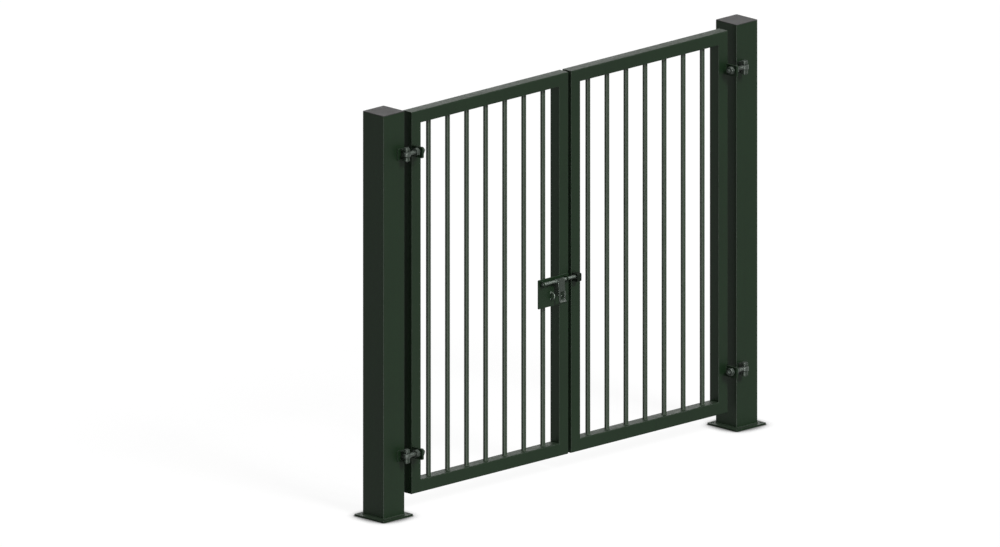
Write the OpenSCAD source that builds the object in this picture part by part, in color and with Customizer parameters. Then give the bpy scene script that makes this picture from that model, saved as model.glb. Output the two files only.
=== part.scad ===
// Double swing gate. Two barred leaves hang on eye bolts between square posts that stand
// on base plates. A sliding bolt on the left leaf closes them and takes a padlock.
// Origin: middle of the left base plate's underside. X runs along the gate, Y to its back.

/* [Posts] */
// Clear width between the two posts
clear_w = 2350; // [1800:50:3600]
// Height of the posts with base plate and cap
post_h = 2100; // [1400:50:2600]
// Side of the square posts
post_side = 150; // [120:10:200]
// Wall of the posts
post_wall = 5; // [3:0.5:5.5]
// Outer corner radius of the posts
post_corner_r = 6; // [6:0.5:12]

/* [Base plates] */
// How far a base plate reaches past its post on each side
base_margin = 30; // [26:1:50]
// Thickness of the base plates
base_t = 10; // [6:1:20]
// Corner radius of the base plates
base_corner_r = 5; // [2:1:12]
// Diameter of the anchor holes
anchor_hole_d = 14; // [10:1:18]
// Distance from the middle of an anchor hole to the edges of the plate
anchor_edge = 20; // [14:1:22]

/* [Post caps] */
// Thickness of the cap's lid
cap_lid_t = 4; // [2:0.5:8]
// Depth of the cap's plug inside the post
cap_plug_h = 25; // [10:1:40]
// Wall of the cap's plug
cap_wall = 3; // [2:0.5:5]
// Clearance of the plug inside the post
cap_fit = 0.5; // [0.2:0.1:1]

/* [Leaves] */
// Side of the square tubes of a leaf's frame
tube_side = 65; // [40:5:80]
// Wall of the frame tubes
tube_wall = 3; // [2:0.5:3.5]
// Outer corner radius of the frame tubes
tube_corner_r = 4; // [4:0.5:9]
// Height of the leaves' underside above the ground
ground_gap = 100; // [40:5:200]
// How far the leaves end below the posts' top
top_step = 20; // [0:5:60]
// Gap between a post and its leaf
hinge_gap = 56; // [40:1:80]
// Gap between the two closed leaves
centre_gap = 20; // [16:1:40]
// How far a leaf's front face lies behind the posts' front face
leaf_setback = 6; // [0:1:30]

/* [Infill bars] */
// Diameter of the round bars
bar_d = 25; // [16:1:30]
// Wall of the bars
bar_wall = 2; // [1.5:0.5:4]
// Distance from bar to bar
bar_pitch = 135; // [100:5:140]
// Least distance from a stile to the middle of the first bar
bar_end_min = 50; // [30:5:80]

/* [Hinges] */
// Distance from a leaf's underside to the middle of the lower hinge's eye
lower_hinge_inset = 222; // [160:2:400]
// Distance from a leaf's top to the middle of the upper hinge's eye
upper_hinge_inset = 194; // [160:2:400]
// Diameter of the hinge pins
pin_d = 18; // [14:1:22]
// Distance from the post's front face forward to the pin's axis
pin_forward = 36; // [34:1:45]
// Distance from the post's gate side inward to the pin's axis
pin_inward = 21.5; // [18:0.5:30]
// Radial clearance of the pin in the lugs
lug_fit = 0.2; // [0.1:0.05:0.5]
// Radial clearance of the pin in the eye
eye_fit = 0.4; // [0.3:0.1:1]
// Diameter of the bush on the lower lug that carries the eye
bush_d = 32; // [24:1:32]
// Height of the bush
bush_h = 13; // [8:1:16]
// Clearance between the eye and the bush below it
eye_rest_gap = 1; // [0.5:0.5:2]
// Diameter of the pin's head
pin_head_d = 28; // [24:1:32]
// Height of the pin's head
pin_head_h = 8; // [5:1:12]
// Length of the pin below the lower lug
pin_tail = 6; // [3:1:12]
// Width of the post bracket's back plate
backplate_w = 52; // [44:1:60]
// Thickness of the post bracket's back plate
backplate_t = 6; // [4:1:9]
// How far the back plate's edge stays inside the post's gate side
backplate_edge = 3; // [0:1:6]
// Width of the lugs
lug_w = 32; // [28:1:36]
// Thickness of the lugs
lug_t = 8; // [5:1:10]
// Free height between the lugs
lug_gap = 44; // [40:1:60]

/* [Eye bolts] */
// Outer diameter of the eye
eye_d = 40; // [34:1:46]
// Height of the eye
eye_h = 24; // [20:1:26]
// Diameter of the bolt's shank
shank_d = 22; // [16:1:22]
// Length of the shank past the far nut
shank_end = 12; // [4:1:20]
// Width of the nuts across their flats
nut_af = 36; // [32:1:38]
// Thickness of the nuts
nut_t = 20; // [14:1:22]
// Thickness of the leaf's hinge plate
hinge_plate_t = 12; // [5:1:14]
// Height of the leaf's hinge plate
hinge_plate_h = 56; // [48:1:64]
// How far the middle of the hinge plate lies below the bolt's axis
hinge_plate_drop = 3; // [0:0.5:6]
// How far the hinge plate reaches past the bolt's axis
hinge_plate_past = 31; // [24:1:31]
// Radial clearance of the shank in the hinge plate
shank_fit = 1; // [0.5:0.5:2]

/* [Lock plate] */
// Width of the lock plate
lock_w = 214; // [206:2:240]
// Height of the lock plate
lock_h = 150; // [130:2:180]
// Thickness of the lock plate
lock_t = 5; // [3:1:8]
// Corner radius of the lock plate
lock_corner_r = 4; // [2:1:10]
// Distance from the leaf's free edge to the lock plate
lock_edge = 5; // [2:1:10]
// Height of the lock plate's top above the ground
lock_top_z = 1040; // [800:10:1200]

/* [Sliding bolt] */
// Diameter of the bolt's rod
rod_d = 16; // [14:1:20]
// Distance from the lock plate's top down to the rod's axis
rod_drop = 20; // [18:1:30]
// Distance from the rod's axis forward to the lock plate's face
rod_forward = 18; // [17.5:0.5:20]
// Travel of the bolt, and the distance between the padlock staples
throw = 76; // [70:1:82]
// How far the shot bolt reaches past the leaf's free edge
rod_reach = 60; // [50:1:68]
// How far the rod's other end stands past its guide
rod_tail = 1; // [1:1:10]
// Radial clearance of the rod in its guides
rod_fit = 0.5; // [0.3:0.1:1]
// Thickness of the rod guides
guide_t = 6; // [4:1:8]
// Material round the rod in a guide
guide_rim = 5; // [4:0.5:7]
// Distance from the lock plate's far end to the guide there
far_guide_inset = 13; // [5:1:14]
// Distance from the lock plate's free end to the guide there
free_guide_inset = 29; // [24:1:34]

/* [Flag of the bolt] */
// Width of the flag
flag_w = 44; // [40:1:48]
// Thickness of the flag
flag_t = 5; // [3:0.5:6]
// How far the flag starts above the rod's axis
flag_rise = 8; // [4:1:10]
// Height of the flag's straight part below the rod's axis
flag_h = 98; // [96:1:106]
// Length of the lip at the flag's lower edge
lip_len = 12; // [8:1:24]
// Slope of the flag away from the lock plate
flag_tilt = 5; // [4.5:0.5:8]
// Slope of the lip
lip_tilt = 35; // [20:5:60]
// Wall of the flag's sleeve round the rod
sleeve_wall = 3.1; // [2.5:0.1:4]
// How deep the flag is let into the sleeve
flag_bite = 2; // [1:0.5:2.5]
// Radial clearance of the rod in the sleeve
sleeve_fit = 0.4; // [0.3:0.1:0.8]
// Clearance between the sleeve and the collars beside it
collar_gap = 1; // [0.5:0.5:2]
// Width of the collars
collar_w = 7; // [5:1:8]
// Width of the window in the flag
window_w = 26; // [22:1:30]
// Height of the window in the flag
window_h = 40; // [34:1:42]
// Distance from the flag's edge to the middle of the padlock staple beside it
staple_beside = 13; // [10:1:14]

/* [Padlock staples] */
// Diameter of the staples' round bar
staple_d = 8; // [6:1:9]
// Radius of the staples' arch at the middle of the bar
staple_r = 16; // [14:0.5:18]
// Straight length of the staples' legs
staple_leg = 8; // [4:1:9]
// Distance from the lock plate's free end to the middle of the first staple
staple_inset = 47; // [44:1:50]
// Distance from the rod's axis down to the middle of the staples
staple_drop = 75; // [70:1:76]

/* [Keeper] */
// Width of the keeper's strap
keeper_w = 30; // [24:1:36]
// Height of the keeper
keeper_h = 42; // [40:1:50]
// Distance from the rod's axis down to the middle of the keeper
keeper_drop = 6; // [0:1:6]
// Thickness of the keeper's strap
keeper_t = 5; // [3:1:6]
// Clearance between the rod and the inside of the keeper's front
keeper_fit = 4; // [3:1:8]
// Distance from the right leaf's free edge to the keeper
keeper_edge = 3; // [1:1:10]

/* [Hidden] */
$fn = 48;

// Coat, caps and bright steel
coat = [0.17, 0.22, 0.17];
coat_bar = [0.28, 0.32, 0.29];
cap_grey = [0.36, 0.36, 0.36];
steel = [0.42, 0.47, 0.43];

// A cut runs past the faces it goes through by this much
past = 1;

// Posts
post_span = clear_w + post_side;
post_face = post_side / 2;
base_side = post_side + 2 * base_margin;
anchor_spacing = base_side - 2 * anchor_edge;
tube_top_z = post_h - cap_lid_t;

// Leaves: the left one is drawn, the right one mirrors it
leaf_w = (clear_w - 2 * hinge_gap - centre_gap) / 2;
leaf_x = post_face + hinge_gap;
leaf_top_z = post_h - top_step;
leaf_h = leaf_top_z - ground_gap;
leaf_front_y = -post_face + leaf_setback;
leaf_mid_y = leaf_front_y + tube_side / 2;
free_edge_x = leaf_x + leaf_w;

// Infill
infill_w = leaf_w - 2 * tube_side;
infill_h = leaf_h - 2 * tube_side;
bar_count = floor((infill_w - 2 * bar_end_min) / bar_pitch) + 1;
first_bar_x = leaf_x + leaf_w / 2 - (bar_count - 1) * bar_pitch / 2;

// Hinges
pin_x = post_face - pin_inward;
pin_y = -post_face - pin_forward;
lower_eye_z = ground_gap + lower_hinge_inset;
upper_eye_z = leaf_top_z - upper_hinge_inset;
lower_lug_top = -eye_h / 2 - eye_rest_gap - bush_h;
upper_lug_base = lower_lug_top + lug_gap;
bracket_base = lower_lug_top - lug_t;
bracket_h = lug_gap + 2 * lug_t;
backplate_x = post_face - backplate_edge - backplate_w;
hinge_plate_front_y = pin_y - hinge_plate_past;
shank_end_x = leaf_x + hinge_plate_t + nut_t + shank_end;

// Lock
lock_face_y = leaf_front_y - lock_t;
lock_right_x = free_edge_x - lock_edge;
lock_x = lock_right_x - lock_w;
rod_y = lock_face_y - rod_forward;
rod_z = lock_top_z - rod_drop;
rod_tip_x = free_edge_x + rod_reach;
free_guide_x = lock_right_x - free_guide_inset - guide_t;
far_guide_x = lock_x + far_guide_inset;
rod_start_x = far_guide_x - rod_tail;
guide_r = rod_d / 2 + rod_fit + guide_rim;

// Flag, staples and collars
sleeve_r = rod_d / 2 + sleeve_fit + sleeve_wall;
staple_x = lock_right_x - staple_inset;
flag_x = staple_x - staple_beside - flag_w;
staple_z = rod_z - staple_drop;

// Keeper
right_edge_x = free_edge_x + centre_gap;
keeper_x = right_edge_x + keeper_edge;
keeper_front_y = rod_y - rod_d / 2 - keeper_fit - keeper_t;

// A square with round corners, its middle at the origin
module rounded_square(side_x, side_y, r) {
    square([side_x - 2 * r, side_y], center = true);
    square([side_x, side_y - 2 * r], center = true);
    for (x = [-1, 1], y = [-1, 1])
        translate([x * (side_x / 2 - r), y * (side_y / 2 - r)])
            circle(r);
}

// Section of a square tube
module tube_section(side, wall, r) {
    difference() {
        rounded_square(side, side, r);
        rounded_square(side - 2 * wall, side - 2 * wall, r - wall);
    }
}

// Puts what is drawn for the left side on the named side
module on_side(side) {
    if (side == "right")
        translate([post_span, 0, 0])
            mirror([1, 0, 0])
                children();
    else
        children();
}

module base_plate(side) {
    color(coat)
        on_side(side)
            difference() {
                linear_extrude(height = base_t)
                    rounded_square(base_side, base_side, base_corner_r);
                for (x = [-1, 1], y = [-1, 1])
                    translate([x * anchor_spacing / 2, y * anchor_spacing / 2, -past])
                        cylinder(d = anchor_hole_d, h = base_t + 2 * past);
            }
}

module post(side) {
    color(coat)
        on_side(side)
            translate([0, 0, base_t])
                linear_extrude(height = tube_top_z - base_t)
                    tube_section(post_side, post_wall, post_corner_r);
}

// Lid over the tube's end, with a hollow plug inside the tube
module post_cap(side) {
    plug_side = post_side - 2 * (post_wall + cap_fit);
    plug_r = post_corner_r - post_wall;
    color(cap_grey)
        on_side(side) {
            translate([0, 0, tube_top_z])
                linear_extrude(height = cap_lid_t)
                    rounded_square(post_side, post_side, post_corner_r);
            translate([0, 0, tube_top_z - cap_plug_h])
                linear_extrude(height = cap_plug_h)
                    difference() {
                        rounded_square(plug_side, plug_side, plug_r);
                        square(plug_side - 2 * cap_wall - plug_r, center = true);
                    }
        }
}

// Back plate on the post with two lugs that hold the hinge pin, and a bush under the eye
module post_bracket(side, eye_z) {
    lug_reach = pin_forward - backplate_t;
    color(steel)
        on_side(side)
            translate([0, 0, eye_z])
                difference() {
                    union() {
                        translate([backplate_x, -post_face - backplate_t, bracket_base])
                            cube([backplate_w, backplate_t, bracket_h]);
                        for (z = [bracket_base, upper_lug_base])
                            translate([pin_x, pin_y, z])
                                linear_extrude(height = lug_t) {
                                    circle(d = lug_w);
                                    translate([-lug_w / 2, 0])
                                        square([lug_w, lug_reach]);
                                }
                        translate([pin_x, pin_y, lower_lug_top])
                            cylinder(d = bush_d, h = bush_h);
                    }
                    translate([pin_x, pin_y, bracket_base - past])
                        cylinder(r = pin_d / 2 + lug_fit, h = bracket_h + 2 * past);
                }
}

module hinge_pin(side, eye_z) {
    color(steel)
        on_side(side)
            translate([pin_x, pin_y, eye_z]) {
                translate([0, 0, bracket_base - pin_tail])
                    cylinder(d = pin_d, h = bracket_h + pin_tail);
                translate([0, 0, bracket_base + bracket_h])
                    cylinder(d = pin_head_d, h = pin_head_h);
            }
}

// Frame tube standing on the origin, mitred so that its side at x = 0 keeps the full length
module mitred_tube(length) {
    cut = 3 * tube_side;
    difference() {
        translate([tube_side / 2, 0, 0])
            linear_extrude(height = length)
                tube_section(tube_side, tube_wall, tube_corner_r);
        for (end = [0, 1])
            translate([0, 0, end * length])
                mirror([0, 0, end])
                    rotate([0, -45, 0])
                        translate([-tube_side, -tube_side, -cut])
                            cube([cut, 2 * tube_side, cut]);
    }
}

module hinge_stile(side) {
    color(coat)
        on_side(side)
            translate([leaf_x, leaf_mid_y, ground_gap])
                mitred_tube(leaf_h);
}

module meeting_stile(side) {
    color(coat)
        on_side(side)
            translate([free_edge_x, leaf_mid_y, ground_gap])
                mirror([1, 0, 0])
                    mitred_tube(leaf_h);
}

module bottom_rail(side) {
    color(coat)
        on_side(side)
            translate([leaf_x, leaf_mid_y, ground_gap])
                rotate([0, 90, 0])
                    mirror([1, 0, 0])
                        mitred_tube(leaf_w);
}

module top_rail(side) {
    color(coat)
        on_side(side)
            translate([leaf_x, leaf_mid_y, leaf_top_z])
                rotate([0, 90, 0])
                    mitred_tube(leaf_w);
}

module infill_bars(side) {
    color(coat_bar)
        on_side(side)
            for (i = [0 : bar_count - 1])
                translate([first_bar_x + i * bar_pitch, leaf_mid_y, ground_gap + tube_side])
                    linear_extrude(height = infill_h)
                        difference() {
                            circle(d = bar_d);
                            circle(d = bar_d - 2 * bar_wall);
                        }
}

// Plate edge on to the stile's front face, flush with its outer side, that the eye bolt is
// clamped to
module hinge_plate(side, eye_z) {
    plate_reach = leaf_front_y - hinge_plate_front_y;
    plate_base = eye_z - hinge_plate_drop - hinge_plate_h / 2;
    color(coat)
        on_side(side)
            difference() {
                translate([leaf_x, hinge_plate_front_y, plate_base])
                    cube([hinge_plate_t, plate_reach, hinge_plate_h]);
                translate([leaf_x - past, pin_y, eye_z])
                    rotate([0, 90, 0])
                        cylinder(r = shank_d / 2 + shank_fit, h = hinge_plate_t + 2 * past);
            }
}

module eye_bolt(side, eye_z) {
    color(steel)
        on_side(side)
            translate([pin_x, pin_y, eye_z])
                difference() {
                    union() {
                        translate([0, 0, -eye_h / 2])
                            cylinder(d = eye_d, h = eye_h);
                        rotate([0, 90, 0])
                            cylinder(d = shank_d, h = shank_end_x - pin_x);
                    }
                    cylinder(r = pin_d / 2 + eye_fit, h = eye_h + 2 * past, center = true);
                }
}

// One nut on each face of the hinge plate
module hinge_nuts(side, eye_z) {
    color(steel)
        on_side(side)
            for (x = [leaf_x - nut_t, leaf_x + hinge_plate_t])
                translate([x, pin_y, eye_z])
                    rotate([0, 90, 0])
                        difference() {
                            cylinder(d = nut_af / cos(30), h = nut_t, $fn = 6);
                            translate([0, 0, -past])
                                cylinder(d = shank_d, h = nut_t + 2 * past);
                        }
}

module lock_plate() {
    color(coat)
        translate([lock_x + lock_w / 2, leaf_front_y, lock_top_z - lock_h / 2])
            rotate([90, 0, 0])
                linear_extrude(height = lock_t)
                    rounded_square(lock_w, lock_h, lock_corner_r);
}

// Two lugs on the lock plate that the rod slides in
module bolt_guides() {
    color(coat)
        for (x = [far_guide_x, free_guide_x])
            translate([x, rod_y, rod_z])
                rotate([90, 0, 90])
                    linear_extrude(height = guide_t)
                        difference() {
                            union() {
                                circle(r = guide_r);
                                translate([0, -guide_r])
                                    square([rod_forward, 2 * guide_r]);
                            }
                            circle(r = rod_d / 2 + rod_fit);
                        }
}

// Round bar bent to an arch on the lock plate
module staple() {
    translate([0, lock_face_y - staple_leg, 0])
        rotate([0, 90, 0])
            rotate([0, 0, 180])
                rotate_extrude(angle = 180)
                    translate([staple_r, 0])
                        circle(d = staple_d);
    for (z = [-staple_r, staple_r])
        translate([0, lock_face_y, z])
            rotate([90, 0, 0])
                cylinder(d = staple_d, h = staple_leg);
}

module padlock_staples() {
    color(coat)
        for (x = [staple_x - throw, staple_x])
            translate([x, 0, staple_z])
                staple();
}

module bolt_rod() {
    color(steel)
        translate([rod_start_x, rod_y, rod_z])
            rotate([0, 90, 0])
                cylinder(d = rod_d, h = rod_tip_x - rod_start_x);
}

module bolt_collars() {
    color(steel)
        for (x = [flag_x - collar_gap - collar_w, flag_x + flag_w + collar_gap])
            translate([x, rod_y, rod_z])
                rotate([0, 90, 0])
                    difference() {
                        cylinder(r = sleeve_r, h = collar_w);
                        translate([0, 0, -past])
                            cylinder(d = rod_d, h = collar_w + 2 * past);
                    }
}

// Section of the flag: a straight strip that ends in a lip, its thickness along X
module flag_section() {
    back = -sleeve_r + flag_bite;
    front = back - flag_t;
    bend = lip_tilt - flag_tilt;
    lip_end = [front - lip_len * sin(bend), -flag_h - lip_len * cos(bend)];
    polygon([
        [back, flag_rise],
        [front, flag_rise],
        [front, -flag_h],
        lip_end,
        lip_end + flag_t * [cos(bend), -sin(bend)],
        [back, -flag_h - flag_t * tan(bend / 2)]
    ]);
}

// Strip with a window that hangs from a sleeve round the rod
module bolt_flag() {
    window_z = -staple_drop / cos(flag_tilt);
    color(steel)
        translate([flag_x, rod_y, rod_z])
            difference() {
                union() {
                    rotate([0, 90, 0])
                        cylinder(r = sleeve_r, h = flag_w);
                    rotate([-flag_tilt, 0, 0])
                        rotate([90, 0, 90])
                            linear_extrude(height = flag_w)
                                flag_section();
                }
                translate([-past, 0, 0])
                    rotate([0, 90, 0])
                        cylinder(r = rod_d / 2 + sleeve_fit, h = flag_w + 2 * past);
                rotate([-flag_tilt, 0, 0])
                    translate([flag_w / 2 - window_w / 2, -2 * sleeve_r,
                               window_z - window_h / 2])
                        cube([window_w, 2 * sleeve_r, window_h]);
            }
}

// Strap bent to a U on the right leaf that the rod's end goes into
module bolt_keeper() {
    keeper_depth = leaf_front_y - keeper_front_y;
    color(coat)
        translate([keeper_x, keeper_front_y, rod_z - keeper_drop - keeper_h / 2])
            difference() {
                cube([keeper_w, keeper_depth, keeper_h]);
                translate([-past, keeper_t, keeper_t])
                    cube([keeper_w + 2 * past, keeper_depth, keeper_h - 2 * keeper_t]);
            }
}

base_plate("left");  // left_base_plate
base_plate("right");  // right_base_plate
post("left");  // left_post
post("right");  // right_post
post_cap("left");  // left_post_cap
post_cap("right");  // right_post_cap
post_bracket("left", lower_eye_z);  // left_lower_post_bracket
post_bracket("left", upper_eye_z);  // left_upper_post_bracket
post_bracket("right", lower_eye_z);  // right_lower_post_bracket
post_bracket("right", upper_eye_z);  // right_upper_post_bracket
hinge_pin("left", lower_eye_z);  // left_lower_hinge_pin
hinge_pin("left", upper_eye_z);  // left_upper_hinge_pin
hinge_pin("right", lower_eye_z);  // right_lower_hinge_pin
hinge_pin("right", upper_eye_z);  // right_upper_hinge_pin
hinge_stile("left");  // left_hinge_stile
meeting_stile("left");  // left_meeting_stile
top_rail("left");  // left_top_rail
bottom_rail("left");  // left_bottom_rail
infill_bars("left");  // left_infill_bars
hinge_plate("left", lower_eye_z);  // left_lower_hinge_plate
hinge_plate("left", upper_eye_z);  // left_upper_hinge_plate
eye_bolt("left", lower_eye_z);  // left_lower_eye_bolt
eye_bolt("left", upper_eye_z);  // left_upper_eye_bolt
hinge_nuts("left", lower_eye_z);  // left_lower_hinge_nuts
hinge_nuts("left", upper_eye_z);  // left_upper_hinge_nuts
hinge_stile("right");  // right_hinge_stile
meeting_stile("right");  // right_meeting_stile
top_rail("right");  // right_top_rail
bottom_rail("right");  // right_bottom_rail
infill_bars("right");  // right_infill_bars
hinge_plate("right", lower_eye_z);  // right_lower_hinge_plate
hinge_plate("right", upper_eye_z);  // right_upper_hinge_plate
eye_bolt("right", lower_eye_z);  // right_lower_eye_bolt
eye_bolt("right", upper_eye_z);  // right_upper_eye_bolt
hinge_nuts("right", lower_eye_z);  // right_lower_hinge_nuts
hinge_nuts("right", upper_eye_z);  // right_upper_hinge_nuts
lock_plate();
bolt_guides();
padlock_staples();
bolt_rod();
bolt_collars();
bolt_flag();
bolt_keeper();
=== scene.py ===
from math import cos, hypot, pi, radians, sin, tan

import bmesh
import bpy
from mathutils import Matrix, Vector


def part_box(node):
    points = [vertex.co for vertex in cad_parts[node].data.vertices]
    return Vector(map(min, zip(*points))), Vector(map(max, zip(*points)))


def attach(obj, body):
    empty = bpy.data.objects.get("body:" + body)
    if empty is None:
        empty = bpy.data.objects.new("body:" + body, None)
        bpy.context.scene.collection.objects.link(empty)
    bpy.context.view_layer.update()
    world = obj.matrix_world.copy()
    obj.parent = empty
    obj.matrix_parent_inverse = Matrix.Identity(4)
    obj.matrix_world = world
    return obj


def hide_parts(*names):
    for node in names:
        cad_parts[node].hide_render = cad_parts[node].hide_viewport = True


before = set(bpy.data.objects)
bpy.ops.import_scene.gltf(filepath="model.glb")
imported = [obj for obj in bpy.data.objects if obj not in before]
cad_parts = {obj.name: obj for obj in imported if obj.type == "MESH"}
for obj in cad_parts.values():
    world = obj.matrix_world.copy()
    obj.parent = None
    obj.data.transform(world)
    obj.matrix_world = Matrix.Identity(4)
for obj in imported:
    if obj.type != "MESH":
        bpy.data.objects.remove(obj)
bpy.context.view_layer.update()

scene = bpy.context.scene


# Base plates: square steel plates that the posts stand on, with a round hole near each
# corner for the ground anchors. They are cut from flat bar, their rims are broken, and
# each is welded to its post's foot and coated with it.

base_corner = 0.005
base_rim = 0.0012
anchor_hole = 0.007
anchor_edge = 0.020
hole_sides = 32
foot_weld = 0.0042
post_corner = 0.006
bead_sides = 8
bead_trough = 0.86
bead_end = 0.45
ring_bead_trough = 0.84
corner_bead_angles = (0.1, 0.4, 0.7, 1.0, 1.3)
crease_angle = 38
merge_gap = 1e-6
fir_green = (0.0080, 0.0218, 0.0083, 1)
fir_green_light = (0.026, 0.050, 0.029, 1)
road_dust = (0.036, 0.043, 0.035, 1)
peel_relief = 0.22
peel_depth = 0.0004


def verts_in(geom):
    """Vertices among what an operator gives back."""
    return [part for part in geom if isinstance(part, bmesh.types.BMVert)]


def seat(origin, x_axis=(1, 0, 0), y_axis=(0, 1, 0)):
    """Matrix that takes a shape drawn round the origin to its place and turn."""
    x, y = Vector(x_axis), Vector(y_axis)
    matrix = Matrix((x, y, x.cross(y))).transposed().to_4x4()
    matrix.translation = Vector(origin)
    return matrix


def rounded_face(size_x, size_y, front=0.0, back=0.0, steps=6):
    """Rectangle with round corners: radius front at its -y side, back at its +y side."""
    bm = bmesh.new()
    corners = bmesh.ops.create_grid(bm, x_segments=1, y_segments=1, size=0.5)["verts"]
    bmesh.ops.scale(bm, vec=(size_x, size_y, 1), verts=corners)
    for side, radius in ((-1, front), (1, back)):
        if radius:
            ends = [v for v in bm.verts if v in corners and v.co.y * side > 0]
            bmesh.ops.bevel(bm, geom=ends, offset=radius, segments=steps, profile=0.5,
                            affect="VERTICES", material=-1)
            corners = [v for v in corners if v.is_valid]
    return bm


def raise_faces(bm, height):
    """Gives a flat outline its thickness, upwards."""
    raised = bmesh.ops.extrude_face_region(bm, geom=bm.faces[:])["geom"]
    bmesh.ops.translate(bm, vec=(0, 0, height), verts=verts_in(raised))
    bmesh.ops.recalc_face_normals(bm, faces=bm.faces)
    return bm


def slab(size_x, size_y, thickness, front=0.0, back=0.0, holes=(), steps=6):
    """Flat plate on the xy plane, its holes given as (x, y, radius)."""
    bm = rounded_face(size_x, size_y, front, back, steps)
    if holes:
        bmesh.ops.delete(bm, geom=bm.faces[:], context="FACES_ONLY")
        half_step = Matrix.Rotation(pi / hole_sides, 4, "Z")
        for x, y, radius in holes:
            bmesh.ops.create_circle(bm, cap_ends=False, segments=hole_sides, radius=radius,
                                    matrix=Matrix.Translation((x, y, 0)) @ half_step)
        bmesh.ops.triangle_fill(bm, use_beauty=True, edges=bm.edges[:], normal=(0, 0, 1))
    return raise_faces(bm, thickness)


def break_edges(bm, width, steps=3, least=40):
    """Rounds every edge sharper than `least` degrees and marks the new faces as worn."""
    worn = bm.loops.layers.float.get("worn") or bm.loops.layers.float.new("worn")
    sharp = [e for e in bm.edges if e.calc_face_angle(0) > radians(least)]
    made = bmesh.ops.bevel(bm, geom=sharp, offset=width, segments=steps, profile=0.5,
                           affect="EDGES", material=-1, clamp_overlap=True)
    for face in made["faces"]:
        for loop in face.loops:
            loop[worn] = 1
    return bm


def swept(points, radii, across, sides=bead_sides, closed=False):
    """Round bar along points that lie in one plane; across is the plane's normal."""
    bm = bmesh.new()
    points = [Vector(p) for p in points]
    count = len(points)
    across = Vector(across)

    def ring_at(i):
        ahead = points[(i + 1) % count] if closed or i < count - 1 else points[i]
        behind = points[i - 1] if closed or i > 0 else points[i]
        along = (ahead - behind).normalized()
        size = radii[i % len(radii)]
        return seat(points[i], across, along.cross(across)) @ Matrix.Scale(size, 4)

    last = ring_at(0)
    ring = bmesh.ops.create_circle(bm, cap_ends=not closed, segments=sides, radius=1,
                                   matrix=last)["verts"]
    for i in list(range(1, count)) + ([0] if closed else []):
        here = ring_at(i)
        if closed:
            edges = [e for e in bm.edges if e.verts[0] in ring and e.verts[1] in ring]
            made = bmesh.ops.extrude_edge_only(bm, edges=edges)["geom"]
        else:
            cap = [f for f in ring[0].link_faces if all(v in ring for v in f.verts)]
            made = bmesh.ops.extrude_face_region(bm, geom=cap)["geom"]
        ring = verts_in(made)
        bmesh.ops.transform(bm, matrix=here @ last.inverted(), verts=ring)
        last = here
    bmesh.ops.remove_doubles(bm, verts=bm.verts, dist=merge_gap)
    bmesh.ops.recalc_face_normals(bm, faces=bm.faces)
    return bm


def weld(start, end, radius, pitch=0.0021):
    """Straight weld bead whose ripples lie a pitch apart."""
    start, end = Vector(start), Vector(end)
    along = end - start
    count = max(4, int(along.length / pitch) * 2)
    points = [start + along * (i / count) for i in range(count + 1)]
    across = along.orthogonal().normalized()
    radii = [radius * (1 if i % 2 else bead_trough) for i in range(count + 1)]
    radii[0] = radii[-1] = radius * bead_end
    return swept(points, radii, across)


def ring_weld(side, corner, height, radius, pitch=0.0026):
    """Weld bead that runs round a square tube's foot."""
    straight = side / 2 - corner
    points = []
    for quarter in range(4):
        turn = Matrix.Rotation(quarter * pi / 2, 4, "Z")
        steps = int(2 * straight / pitch)
        points += [turn @ Vector((side / 2, -straight + i * pitch, height))
                   for i in range(steps)]
        points += [turn @ Vector((straight + corner * cos(a), straight + corner * sin(a),
                                  height)) for a in corner_bead_angles]
    return swept(points, [radius, radius * ring_bead_trough], (0, 0, 1), closed=True)


def add_part(bm, part, matrix=Matrix()):
    """Adds a finished shape to a piece at its place."""
    part.transform(matrix)
    mesh = bpy.data.meshes.new("part")
    part.to_mesh(mesh)
    part.free()
    bm.from_mesh(mesh)
    bpy.data.meshes.remove(mesh)


def new_piece():
    """Empty mesh with the layer that marks worn faces."""
    bm = bmesh.new()
    bm.loops.layers.float.new("worn")
    return bm


def middle_of(node):
    """Middle of a node's box."""
    low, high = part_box(node)
    return (low + high) / 2


gate_middle = (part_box("left_post")[0].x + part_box("right_post")[1].x) / 2


def to_side(bm, side):
    """What is drawn for the left side is mirrored for the right one."""
    if side == "right":
        bmesh.ops.scale(bm, vec=(-1, 1, 1), verts=bm.verts)
        bmesh.ops.translate(bm, vec=(2 * gate_middle, 0, 0), verts=bm.verts)
        bmesh.ops.reverse_faces(bm, faces=bm.faces)
    return bm


def finish_piece(name, bm, material):
    """Object from a bmesh: smooth faces, sharp creases and flat plates kept flat."""
    mesh = bpy.data.meshes.new(name)
    bm.to_mesh(mesh)
    bm.free()
    mesh.shade_smooth()
    mesh.set_sharp_from_angle(angle=radians(crease_angle))
    mesh.materials.append(material)
    piece = bpy.data.objects.new(name, mesh)
    scene.collection.objects.link(piece)
    flat = piece.modifiers.new("flat_faces", "WEIGHTED_NORMAL")
    flat.keep_sharp = True
    return piece


def feed(tree, socket, value):
    """Gives an input socket its value, or the output that feeds it."""
    if isinstance(value, bpy.types.NodeSocket):
        tree.links.new(value, socket)
    else:
        socket.default_value = value


def place_node(tree, kind, settings=None, **inputs):
    """Shader node with its settings, its input values and the sockets that feed it."""
    node = tree.nodes.new(kind)
    for key, value in (settings or {}).items():
        setattr(node, key, value)
    for key, value in inputs.items():
        feed(tree, node.inputs[key.replace("_", " ")], value)
    return node


def mixed(tree, amount, first, second):
    """Colour between two colours."""
    node = tree.nodes.new("ShaderNodeMix")
    node.data_type = "RGBA"
    for number, value in ((0, amount), (6, first), (7, second)):
        feed(tree, node.inputs[number], value)
    return node.outputs[2]


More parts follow.
